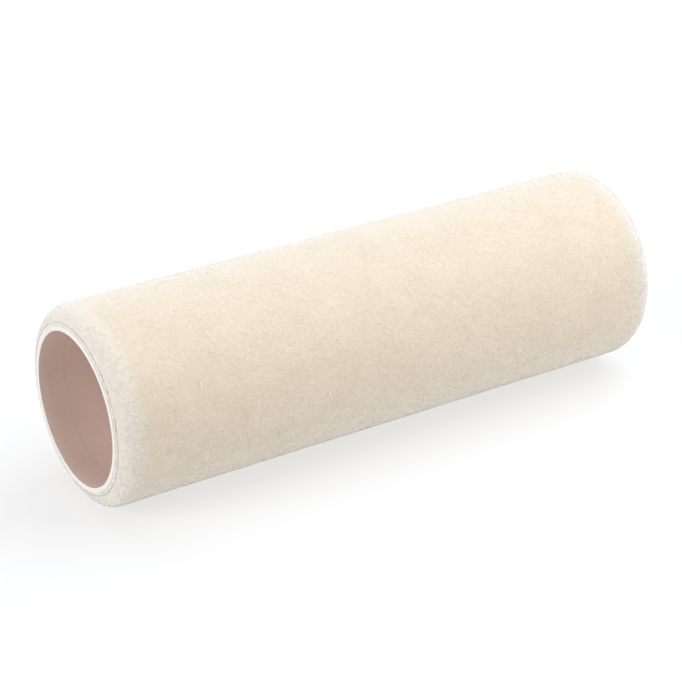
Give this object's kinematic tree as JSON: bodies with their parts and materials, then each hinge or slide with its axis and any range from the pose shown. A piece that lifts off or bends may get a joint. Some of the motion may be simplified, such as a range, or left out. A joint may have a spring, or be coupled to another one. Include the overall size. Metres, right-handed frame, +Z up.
{
  "type": "paint roller cover",
  "caption": "Short pile fabric sleeve on a spirally wound paper core, open at both ends, that slides onto a roller frame's cage to spread paint.",
  "frame": {"origin": "middle of the bore, halfway between the core's two ends", "axes": "+X along the bore, from the end at the left of the front view to the other; +Z up across the cover; -Y towards the front view"},
  "size_m": [0.18, 0.0578, 0.0578],
  "materials": {
    "core_inner": "matte, resin-treated kraft paper",
    "core_outer": "matte, pale paper",
    "adhesive": "dull, dried glue",
    "backing": "woven ground cloth",
    "pile": "short sheared cream pile"
  },
  "bodies": {
    "root": {"core_inner_ply": "core_inner", "core_middle_ply": "core_inner", "core_outer_ply": "core_outer", "adhesive_layer": "adhesive", "fabric_backing": "backing", "nap_pile": "pile"}
  },
  "joints": []
}
